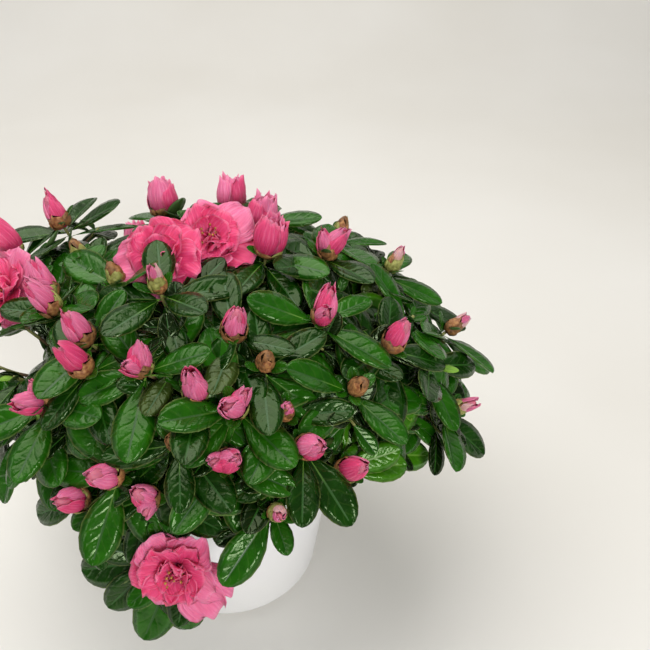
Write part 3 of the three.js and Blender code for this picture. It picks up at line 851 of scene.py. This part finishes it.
def laid(shape, base, axis, angle, length, width, starts, ends, thick, draw, frill=1.0):
    """A petal laid out from a bloom's heart, which leans from one angle at its root to another."""
    x, y, z = shape.points.T
    half = 0.5 * width * np.interp(y, (0, 0.15, 0.4, 0.68, 0.9, 1), (0.16, 0.34, 0.78, 1, 0.9, 0.66))
    far = y * (1 - 0.15 * np.abs(x) ** 2.2 * y) + 0.014 * frill * y**3 * np.sin(6 * x + draw(0, 6))
    lean = starts + (ends - starts) * far
    turn = ends - starts if abs(ends - starts) > 1e-3 else 1e-3
    out = length / turn * (math.cos(starts) - np.cos(lean))
    up = length / turn * (np.sin(lean) - math.sin(starts))
    phase, phase2 = draw(0, 6.3), draw(0, 6.3)
    wave = 2.3 * MM * np.sin(2.7 * x + phase) * y**1.5
    wave += 1.6 * MM * frill * np.sin(5.6 * x + phase2) * y**3
    wave += 0.9 * MM * frill * np.sin(9.5 * x + phase) * np.clip((y - 0.6) / 0.4, 0, 1) ** 1.5
    wave += draw(-0.5, 2.6) * MM * x**2 * y + z * thick
    out, up = out - wave * np.cos(lean), up + wave * np.sin(lean)
    f = frame_of(axis, angle)
    return np.array(base) + np.outer(out, f[0]) + np.outer(x * half, f[1]) + np.outer(up, f[2])


def spindle(radius, base=0.45, tip=0.4):
    shares = (0, 0.12, 0.3, 0.5, 0.75, 0.9, 1)
    radii = (base, 0.7, 0.94, 1, 0.72 + 0.35 * tip, 0.36 + 0.66 * tip, tip)
    return lambda t: radius * np.interp(t, shares, radii)


# %% Buds: wrapped petals in a cup of scales
petals, bloom_petals, scales = Heap(), Heap(), Heap()
core = ball_shape(2)
PETAL_STEP = rad(137.5)  # from one petal or scale to the next
PINK, DEEP, PALE, CREAM = range(4)
OLIVE, BROWN, RUST = range(3)
MIXED, FRESH = (OLIVE, BROWN, RUST, BROWN), (OLIVE, OLIVE, RUST, OLIVE)
RIPE = (BROWN, RUST, BROWN, RUST)


def add_core(heap, base, axis, length, radius, shade):
    """The closed heart of a bud, which fills it up to its mouth."""
    x, y, z = core.points.T
    share = (z + 1) / 2
    width = radius * np.sqrt(np.clip(1 - np.abs(2 * share - 1) ** 2, 0, 1))
    width = width / np.maximum(np.hypot(x, y), 1e-6)
    local = np.stack([x * width, y * width, share * length], axis=1)
    heap.add(core, np.array(base) + local @ frame_of(axis, 0), shade)


def add_scales(base, axis, length, radius, count, draw, tight=False):
    heading = draw(0, 6.3)
    tones = MIXED
    if tight:
        tones = FRESH if draw(0, 1) < 0.5 else RIPE
        add_core(scales, base, axis, length, radius, 1)
    for n in range(count):
        share = n / max(1, count - 1)
        size = length * ((0.5 + 0.53 * share) if tight else draw(0.8, 1.15))
        lift = (0.3 + (0.5 * (1 - share) if tight else draw(0.2, 0.9))) * MM
        shade = tones[int(draw(0, 3.99))]
        flare = 0.0 if tight else draw(0, 0.9) * MM
        girth = spindle(radius, 0.5, 0.04 if tight else 0.75)
        points = wrapped(scale_sheet, base, axis, heading + n * PETAL_STEP, size, girth, 0.85,
                         0.35 * MM, lift, flare, 0.2 * MM, draw(0, 6), 0.12)
        scales.add(scale_sheet, points, shade)


def add_bud(base, axis, length, radius, draw, shade=PINK, layers=6, open_=0.0):
    heading = draw(0, 6.3)
    add_core(petals, base, axis, length * (0.93 - 0.2 * open_), radius * 0.8, DEEP)
    for n in range(layers):
        size = length * draw(0.8, 1.1)
        girth = spindle(radius * (0.94 - 0.03 * n), 0.42, 0.26 + 0.36 * open_)
        tone = shade if draw(0, 1) < 0.45 else PALE
        lift, flare = 0.4 * MM - 0.3 * MM * n, (0.25 + open_ * draw(0.6, 2.2)) * MM
        points = wrapped(bud_sheet, base, axis, heading + n * PETAL_STEP, size, girth, rad(72),
                         0.35 * MM, lift, flare, (0.9 + 0.6 * open_) * MM, draw(0, 6),
                         0.62 + 0.1 * open_, draw(0.3, 1.1) * MM)
        petals.add(bud_sheet, points, tone)


def tilted(axis, angle, tilt):
    u, v = cross_axes(axis)
    side = u * math.cos(angle) + v * math.sin(angle)
    return (axis * math.cos(tilt) + side * math.sin(tilt)).normalized()


def keep_out(base, axis, length, radius):
    """Claims the place of a bud by two cones that meet at its widest part."""
    points, faces = disc(base, axis, radius, length * 0.55)
    top, more = disc(Vector(base) + axis * length, axis, radius, -length * 0.45)
    faces += [tuple(i + len(points) for i in face) for face in more]
    room.claim(np.concatenate([points, top]), faces)


# %% Blooms
stamens, anther = Heap(), ball_shape(1)
TIERS = [  # petals, length, width, lean at root and edge, shade
    (5, 28, 29, 52, 98, PALE),
    (6, 24, 23, 30, 86, PINK),
    (5, 18, 18, 10, 62, PINK),
    # the innermost tier is deep pink: painted shade in the bloom's heart
    (4, 12, 12, 4, 34, DEEP),
]


def add_bloom(tip, axis, scale, draw, loose=False):
    heading = draw(0, 6.3)
    for tier, (count, length, width, low, high, shade) in enumerate(TIERS):
        for n in range(count):
            angle = heading + tier * 0.5 + (n + draw(-0.15, 0.15)) * 2 * math.pi / count
            sheet, frill = (bloom_sheet, 1.0) if tier < 3 else (bud_sheet, 1.4)
            size = length * scale * draw(0.9, 1.06) * MM
            lean = rad(draw(-11, 9))
            broad = width * scale * MM * draw(0.92, 1.1)
            points = laid(sheet, tip + axis * (tier * 0.7 * MM), axis, angle, size, broad,
                          rad(low) + lean, rad(high) + lean, 0.4 * MM, draw, frill)
            bloom_petals.add(sheet, points, shade if draw(0, 1) < 0.75 else PINK)
    if loose:  # an old bloom lets two outer petals hang
        for angle, long in ((rad(-28), 31), (rad(-56), 36)):
            points = laid(bloom_sheet, tip - axis * 1.2 * MM, axis, angle, long * MM, 27 * MM,
                          rad(66), rad(104), 0.4 * MM, draw)
            bloom_petals.add(bloom_sheet, points, PALE)
    for n in range(8):
        way = tilted(axis, heading + n * PETAL_STEP, rad(draw(6, 30)))
        end = tip + way * draw(13, 17) * scale * MM
        line = bezier(tip, tip + axis * 8 * MM * scale, end, 6)
        tube_along(stamens, line, taper(0.45 * MM, 0.35 * MM, 6), 5)
        f = frame_of(way, draw(0, 6))
        body = anther.points * (np.array([0.7, 0.7, 1.2]) * MM)
        stamens.add(anther, np.array(end) + body @ f, 1)


NODDING, NOD_SIDE = rad(60), 0.5  # upper blooms turn to the front, if they aren't at the back
BLOOM_CORNERS = 12
BUD, TIGHT, OPENING = (24, 5.6), (15, 4.3), (23, 9.5)
for spray in sprays:
    if spray["kind"] == "leafy":
        continue
    draw = drawing(BLOSSOM_SEED + spray["seed"])
    tip, axis = spray["tip"], spray["axis"]
    heading = draw(0, 6.3)
    if spray["kind"] == "tight":
        length, radius = (v * MM for v in TIGHT)
        base = tip - axis * 2 * MM
        add_scales(base, axis, length, radius - 0.6 * MM, 12, draw, tight=True)
        if draw(0, 1) < 0.6:  # the petals begin to push out between the scales
            start = base + axis * 0.3 * length
            add_bud(start, axis, length * draw(0.8, 1), radius * 0.62, draw, CREAM, 3)
        keep_out(base, axis, length, radius)
    elif spray["kind"] in ("bud", "pair"):
        pair = [(rad(22), 0, 0.9), (rad(26), math.pi, 0.72)]
        for tilt, turned, size in pair if spray["kind"] == "pair" else [(rad(8), 0, 1)]:
            way = tilted(axis, heading + turned, tilt)
            length, radius = BUD[0] * size * MM, BUD[1] * size * MM
            base = tip - way * 3 * MM
            add_bud(base, way, length, radius, draw)
            add_scales(base, way, length * 0.42, radius * 0.98, 6, draw)
            keep_out(base, way, length, radius)
    elif spray["kind"] == "opening":
        length, radius = (v * MM for v in OPENING)
        way = tilted(axis, heading, rad(6))
        base = tip - way * 3 * MM
        add_bud(base, way, length, radius, draw, PINK, 7, 0.8)
        add_bud(base, way, length * 1.04, radius * 0.7, draw, PALE, 5, 0.6)
        add_scales(base, way, length * 0.3, radius * 0.7, 6, draw)
        keep_out(base, way, length, radius)
    else:
        if spray["lean"] < NODDING and direction(spray["turn"], spray["lean"]).y < NOD_SIDE:
            axis = (axis + Vector((0, -0.6, 0))).normalized()
            tip = tip + Vector((0, 5, -1)) * MM
        hanging = spray["lean"] > HANGING
        add_bloom(tip, axis, 0.86 if hanging else 1.0, draw, hanging)
        points, faces = disc(tip - axis * 3 * MM, axis, 27 * MM, 10 * MM, BLOOM_CORNERS)
        top, rim = len(points), range(BLOOM_CORNERS)
        faces += [(top, (n + 1) % BLOOM_CORNERS + 1, n + 1) for n in rim]
        room.claim(np.concatenate([points, [tip + axis * 16 * MM]]), faces)
print(len(petals.parts), "petals", len(scales.parts), "scales")


# %% [markdown]
# ## The finish of petals and scales
# A petal is silky, with fine lengthwise strips of a deeper pink and a paler rim; it darkens towards
# its root, which is painted shade in a bloom's heart and at a bud's base. A picture could be laid on
# it; here noise is stretched along the petal's own flat map, so every petal, rolled or laid out, has
# its strips the right way. The scales are dry and streaked, and the anthers use the same finish.

# %% Finishes of the blossom
def petal_finish(name, edge, vein_and_root_shade):
    pink = Finish(name, edge, 0.5, Subsurface_Weight=0.12, Subsurface_Scale=0.002)
    place = pink.add("UVMap", {}, uv_map="place").outputs[0]
    split = pink.add("SeparateXYZ", {0: place})
    across, up = split.outputs[0], split.outputs[1]
    stretched = {0: pink.sums("MULTIPLY", across, 26), 1: pink.sums("MULTIPLY", up, 2.2)}
    strips = pink.add("CombineXYZ", stretched)
    height = pink.noise(1, 3, strips.outputs[0])
    # the petal darkens towards its root: painted shade in a bloom's heart and at a bud's base
    shade = pink.mix(pink.spread(up, 0.05, 0.65), colour(vein_and_root_shade), colour(edge))
    veined = pink.mix(pink.spread(height, 0.42, 0.72, 0.0, 0.5), shade, colour(vein_and_root_shade))
    pale = pink.mix(pink.spread(height, 0.5, 0.25, 0.0, 0.2), veined, colour(0xF9B6CC))
    margin = pink.sums("MAXIMUM", pink.sums("ABSOLUTE", pink.sums("MULTIPLY_ADD", across, 2, -1)), up)
    rimmed = pink.mix(pink.spread(margin, 0.9, 1.0, 0.0, 0.25), pale, colour(0xF9B6CC))
    return pink.give(Base_Color=rimmed, Normal=pink.bump(height, 0.0014, 0.85))


petal_finishes = [
    petal_finish("petal_pink", 0xEC467E, 0xC01850),
    petal_finish("petal_deep", 0xD62A62, 0xA40E3E),
    petal_finish("petal_pale", 0xF27AA6, 0xCE2A66),
    petal_finish("petal_cream", 0xF0B4BC, 0xD9A77A),
]
petals.make("bud_petals", petal_finishes, "foliage", [])
bloom_petals.make("bloom_petals", petal_finishes, "foliage", [])


def scale_finish(name, light, dark):
    husk = Finish(name, light, 0.6)
    streak = husk.noise(500, 4)
    shade = husk.mix(husk.spread(streak, 0.35, 0.65), colour(dark), colour(light))
    return husk.give(Base_Color=shade, Normal=husk.bump(streak, 0.0004))


scale_finishes = [
    scale_finish("scale_olive", 0xA6A65A, 0x7A7A38),
    scale_finish("scale_brown", 0x9A6B3C, 0x5F3E22),
    scale_finish("scale_rust", 0xB5824E, 0x7D4526),
]
scales.make("bud_scales", scale_finishes, "foliage", [])
stamen_finishes = [
    petal_finish("filament_pink", 0xD2447A, 0xA81E50),
    scale_finish("anther_ochre", 0xC79A4A, 0x8A5A2A),
]
stamens.make("stamens", stamen_finishes, "foliage", [])

# %% [markdown]
# ## Leaves
# The leaves are leathery and glossy, broadest beyond the middle, with a small point, a sunken midrib,
# a thin pale margin and side veins that quilt the face. A flat card with a picture would be lighter,
# but it has no outline of its own. One blade of a few dozen faces is modelled from a grid, closed by
# a plainer back, folded along its rib in three degrees, and used for every leaf; side veins are left
# to the finish.

# %% The blade
COLUMNS = (-1, -0.54, -0.06, 0.06, 0.54, 1)
ROWS = (0, 0.09, 0.25, 0.42, 0.59, 0.74, 0.86, 0.935, 0.98, 1)
OUTLINE = (0, 0.07, 0.46, 0.84, 1.0, 0.95, 0.76, 0.53, 0.27, 0)
RELIEF = (-0.10, 0.07, -0.06)  # height at the midrib, half way and at the margin, per half width


def leaf_shape(keel):
    bm = bmesh.new()
    bmesh.ops.create_grid(bm, x_segments=5, y_segments=9, size=1)
    back = bmesh.ops.create_grid(bm, x_segments=2, y_segments=9, size=1)["verts"]
    bmesh.ops.reverse_faces(bm, faces=[f for f in bm.faces if f.verts[0] in back])
    under = set(back)
    place = bm.loops.layers.uv.new("place")
    rib_faces = bm.faces.layers.int.new("slot")
    for f in bm.faces:
        middle = f.calc_center_median()
        if f.verts[0] in under:
            f[rib_faces] = 2
        elif (abs(middle.x) < 0.1 and middle.y < 0.6) or middle.y < -0.7:
            f[rib_faces] = 1
    for v in bm.verts:
        y = ROWS[round((v.co.y + 1) * 4.5)]
        x = v.co.x if v in under else COLUMNS[round((v.co.x + 1) * 2.5)]
        for loop in v.link_loops:
            loop[place].uv = ((x + 1) / 2, y)
        half = np.interp(y, ROWS, OUTLINE)
        height = float(np.interp(abs(x), (0, 0.52, 1), RELIEF)) + keel * abs(x)
        if v in under and abs(x) < 0.9:
            height = RELIEF[0] - 0.10
        v.co = (x * half, y, height * max(half, 0.12) if abs(x) < 0.9 or half > 0.2 else 0)
    bmesh.ops.remove_doubles(bm, verts=bm.verts, dist=1e-5)
    bmesh.ops.recalc_face_normals(bm, faces=bm.faces)
    return Shape(bm, lambda f: f[rib_faces])


leaf_shapes = [leaf_shape(keel) for keel in (0.02, 0.14, 0.28)]
GUARD = (  # place along the leaf and half width of the coarse outline
    (0.32, 0.6267), (0.45, 0.87), (0.65, 0.9781), (0.85, 0.7554), (0.98, 0.1689),
)
coarse_bm = bmesh.new()
bmesh.ops.create_grid(coarse_bm, x_segments=2, y_segments=4, size=1)
for v in coarse_bm.verts:
    y, half = GUARD[round((v.co.y + 1) * 2)]
    v.co = (v.co.x * 0.92 * half, y, 0)
coarse_bm.loops.layers.uv.new("place")
coarse_bm.verts.ensure_lookup_table()
coarse_faces = [tuple(v.index for v in f.verts) for f in coarse_bm.faces]
coarse = Shape(coarse_bm)
print("a leaf has", len(leaf_shapes[0].sizes), "faces")


# %% [markdown]
# ## The whorls
# Leaves stand in whorls at the tips of the shoots, small and upright inside, long and spread outside,
# and a few sit further down the twig. A particle system could strew them, but it knows nothing of
# whorls. Each leaf is planned as a few numbers, then tried by its coarse outline against main twigs
# and blossom, inner leaves of every shoot before outer ones.

# %% Placing a leaf, and growing the whorls
def leaf_at(shape, root, axis, side, spread, length, width, droop, twist, curl):
    along = unit(np.array(axis) * math.cos(spread) + np.array(side) * math.sin(spread))
    up = unit(np.array(axis) * math.sin(spread) - np.array(side) * math.cos(spread))
    up = unit(up + 0.7 * (LIGHT - along * along.dot(LIGHT)))  # a leaf turns its face to the light
    across = np.cross(along, up)
    c, s = math.cos(twist), math.sin(twist)
    across, up = across * c + up * s, up * c - across * s
    x, y, z = shape.points.T
    x, z = x * width / 2, z * width / 2
    bend = 1.9 * droop * y
    out = length * (y - droop**2 * y**3 * 0.6) - z * np.sin(-bend)
    drop = -droop * length * y**2 + z + curl * (x / width) ** 2 * width * y
    return np.array(root) + np.outer(out, along) + np.outer(x, across) + np.outer(drop, up)


LIGHT = unit((0, -0.45, 0.9))
FRONT_GAP, FRONT_TURN, FRONT_SPREAD = 14 * MM, rad(-70), rad(16)
FOLDS, SWINGS = (0, rad(14), rad(-12), rad(28)), (0, rad(18), rad(-18))
SHRINKS = (1, 0.84, 0.68)
BRIGHT_SIDE, LOW_TIP, HALF_WAY = (rad(-62), rad(-35)), 0.14, 0.02
leaves = {"upper": Heap(), "side_front": Heap(), "side_back": Heap()}
DEEP_LEAF, MID_LEAF, BRIGHT_LEAF, YOUNG_LEAF, OLIVE_LEAF, SHADED_LEAF, RIB, BRIGHT_RIB, BACK = range(9)


def heap_of(mass):
    """The heap that the leaves of a mass of foliage go to."""
    if mass["ring"] != "side":
        return "upper"
    return "side_front" if mass["centre"].y < HALF_WAY else "side_back"


def shade_of(spray, draw):
    """Young and low front sprays are brighter; most are deep, and those under leaves get painted shade.
    """
    dealt = draw(0, 1)
    if spray["main"] and spray["lean"] > rad(70) and BRIGHT_SIDE[0] < spray["turn"] < BRIGHT_SIDE[1]:
        return BRIGHT_LEAF  # main sprays on the crown's front right side are bright
    # side sprays sit deep in the crown, so most get the near-black green of painted shade
    if not spray["main"] and dealt < 0.7:
        return SHADED_LEAF
    bright = 0.2 if spray["tip"].z < LOW_TIP else 0.06
    if dealt < bright:
        return BRIGHT_LEAF
    if dealt < bright + 0.4:
        return MID_LEAF
    return DEEP_LEAF


def plan_leaves(spray):
    """Every leaf of a spray as the numbers that place it, inner and younger leaves first."""
    draw = drawing(LEAF_SEED + spray["seed"])
    bloom, size = spray["kind"] == "bloom", spray["size"]
    heading = draw(0, 2 * math.pi)
    shade = shade_of(spray, draw)
    whorl, down = (9, 4) if spray["main"] else (5, 1)
    plans = []
    for n in range(whorl + down):
        low = n >= whorl
        share = n / (whorl - 1) if not low else 1
        spread = rad(draw(78, 102) if low else 60 + 32 * share)
        spread = spread + (rad(20) if bloom else 0) + draw(-0.12, 0.12)
        length = draw(36, 46) * MM * size * (draw(0.8, 1) if low else 0.7 + 0.3 * min(1, share * 1.8))
        place = (3 + 0.8 * n if not low else 18 + 8 * (n - whorl)) * MM
        others = (MID_LEAF, DEEP_LEAF, MID_LEAF, OLIVE_LEAF)
        tone = shade if draw(0, 1) < 0.75 else others[int(draw(0, 3.15))]
        # most low leaves down the twig get the near-black green of painted shade
        tone = SHADED_LEAF if low and draw(0, 1) < 0.6 else tone
        if n < 3 and spray["main"] and spray["kind"] != "bloom":
            spread, length = spread - rad(22), length * draw(0.3, 0.5)
            tone = YOUNG_LEAF if n < 2 and spray["kind"] == "leafy" and draw(0, 1) < 0.5 else MID_LEAF
        fan = spray.get("fan")
        angle = heading + n * GOLDEN_ANGLE if fan is None else fan + (0, -1, 1, -2, 2, 0)[n] * rad(32)
        if fan is not None and n == 0:
            spread, length = rad(84), 44 * MM
        plans.append(dict(angle=angle, spread=spread, length=length, down=place,
                          width=draw(0.4, 0.5), droop=draw(0.04, 0.2), twist=draw(-0.2, 0.2),
                          curl=draw(-0.12, 0.1), tone=tone, keel=int(draw(0, 2.99))))
    return plans


def point_down(line, down):
    for a, b in zip(line[::-1], line[-2::-1]):
        step = (b - a).length
        if down < step:
            return a.lerp(b, down / step)
        down -= step
    return line[0]


def too_low(spray, outline):
    """Whether a leaf hangs under the crown's edge, which is a little higher in front of the pot."""
    if spray["lean"] > HANGING:  # the low bloom's leaves may hang, but not to the right, over the pot
        return any(p[0] > 2 * MM for p in outline)
    for p in outline:
        turn = math.atan2(p[1] - CROWN_CENTRE.y, p[0] - CROWN_CENTRE.x)
        if p[2] < skirt(p) + FRONT_GAP * math.exp(-(((turn - FRONT_TURN) / FRONT_SPREAD) ** 2)):
            return True
    return False


def grow_leaf(spray, plan):
    """Places a leaf in the first version whose coarse outline is free, or leaves it out."""
    u, v = cross_axes(spray["axis"])
    root = point_down(spray["line"], plan["down"])
    for shrink in SHRINKS:
        for fold in FOLDS:
            for swing in SWINGS:
                angle = plan["angle"] + swing
                side = u * math.cos(angle) + v * math.sin(angle)
                length = plan["length"] * shrink
                place = (root, spray["axis"], side, plan["spread"] - fold, length,
                         length * plan["width"], plan["droop"], plan["twist"], plan["curl"])
                outline = leaf_at(coarse, *place)
                if too_low(spray, outline) or any(in_pot(p) or in_gap(p) for p in outline):
                    continue
                if not room.free(outline, coarse_faces):
                    continue
                shape = leaf_shapes[plan["keel"]]
                rib = BRIGHT_RIB if plan["tone"] in (BRIGHT_LEAF, YOUNG_LEAF) else RIB
                slots = np.array([plan["tone"], rib, BACK])[shape.slots]
                leaves[heap_of(spray["mass"])].add(shape, leaf_at(shape, *place), slots)
                return True
    return False


plans = {id(spray): plan_leaves(spray) for spray in sprays}
blossomed = [s for s in sprays if s["main"] and s["kind"] != "leafy"]
fans = [s for s in sprays if s.get("fan") is not None]
leafy = [s for s in sprays if s["main"] and s["kind"] == "leafy"]
side_sprays = [s for s in sprays if not s["main"] and s not in fans]
LONG_LEAF = dict(angle=rad(-112), spread=rad(78), length=56 * MM, down=9 * MM, width=0.42, droop=0.05,
                 twist=0.1, curl=0, tone=MID_LEAF, keel=1)  # it hangs down under the lowest bloom
grown = [grow_leaf(s, LONG_LEAF) for s in sprays if s["main"] and s["lean"] > HANGING]
for group in (fans, blossomed, leafy, side_sprays):
    for n in range(len(plans[id(group[0])])):
        grown += [grow_leaf(spray, plans[id(spray)][n]) for spray in group]
print(sum(grown), "leaves,", len(grown) - sum(grown), "left out")


# %% [markdown]
# ## The finish of leaves
# An azalea's leaf is dark and waxy, quilted by side veins, with a paler midrib and back. Age makes
# each spray a little different, and a near-black green is painted shade for sprays deep in the crown,
# so plain greens are dealt out by spray. Veins could be modelled, at a great cost of faces; a slanted
# wave on the leaf's own flat map gives them as fine relief.

# %% Finishes of the leaves
def blade_finish(name, deep, light, roughness=0.17):
    blade = Finish(name, deep, roughness, Specular_IOR_Level=0.42, Specular_Tint=(0.78, 1.0, 0.58, 1))
    place = blade.add("UVMap", {}, uv_map="place").outputs[0]
    split = blade.add("SeparateXYZ", {0: place})
    across = blade.sums("ABSOLUTE", blade.sums("MULTIPLY_ADD", split.outputs[0], 2, -1))
    slant = blade.sums("MULTIPLY_ADD", split.outputs[1], 6.5, blade.sums("MULTIPLY", across, -1.5))
    wander = blade.sums("MULTIPLY_ADD", blade.noise(110, 2), 1.0, slant)
    vein = blade.spread(blade.sums("PINGPONG", wander, 0.5), 0.0, 0.22)
    mottle = blade.noise(110, 3)
    shade = blade.mix(blade.spread(mottle, 0.3, 0.7), colour(deep), colour(light))
    veined = blade.mix(blade.spread(vein, 0, 0.5, 0.05, 0.0), shade, colour(0x7F9A4A))
    margin = blade.spread(across, 0.9, 1.0, 0.0, 0.5)
    quilt = blade.sums("MULTIPLY_ADD", mottle, 1.8, blade.sums("MULTIPLY", blade.noise(330, 2), 0.8))
    height = blade.sums("MULTIPLY_ADD", vein, 0.4, quilt)
    return blade.give(
        Base_Color=blade.mix(margin, veined, colour(0x8FA05A)),
        Roughness=blade.spread(blade.noise(240, 2), 0.3, 0.7, roughness - 0.04, roughness + 0.1),
        Normal=blade.bump(height, 0.0005, 0.65),
    )


def rib_finish(name, tip, base):
    """A rib that fades along the leaf, from the stalk's yellow green into the blade's own green."""
    rib = Finish(name, tip, 0.4)
    place = rib.add("UVMap", {}, uv_map="place").outputs[0]
    along = rib.add("SeparateXYZ", {0: place}).outputs[1]
    return rib.give(Base_Color=rib.mix(rib.spread(along, 0.08, 0.5), colour(base), colour(tip)))


leaf_finishes = [
    blade_finish("leaf_deep", 0x062501, 0x123C05),
    blade_finish("leaf_mid", 0x124404, 0x225C08),
    blade_finish("leaf_bright", 0x2A6206, 0x3E760C),
    blade_finish("leaf_young", 0x6C9C30, 0x86B03E, 0.42),
    blade_finish("leaf_olive", 0x2A3C12, 0x384818),
    # painted shade: the near-black green of leaves deep in the crown
    blade_finish("leaf_painted_shade", 0x041201, 0x0A2203),
    rib_finish("rib_green", 0x1F4E0C, 0x6F9A36),
    rib_finish("rib_bright", 0x5C8A26, 0x8FB04E),
    rib_finish("leaf_back", 0x4A6834, 0x5E7C3E),
]
for key, heap in leaves.items():
    nodes = [f"foliage_{mass['name']}" for mass in masses if heap_of(mass) == key]
    heap.make(f"leaves_{key}", leaf_finishes, "foliage", nodes)
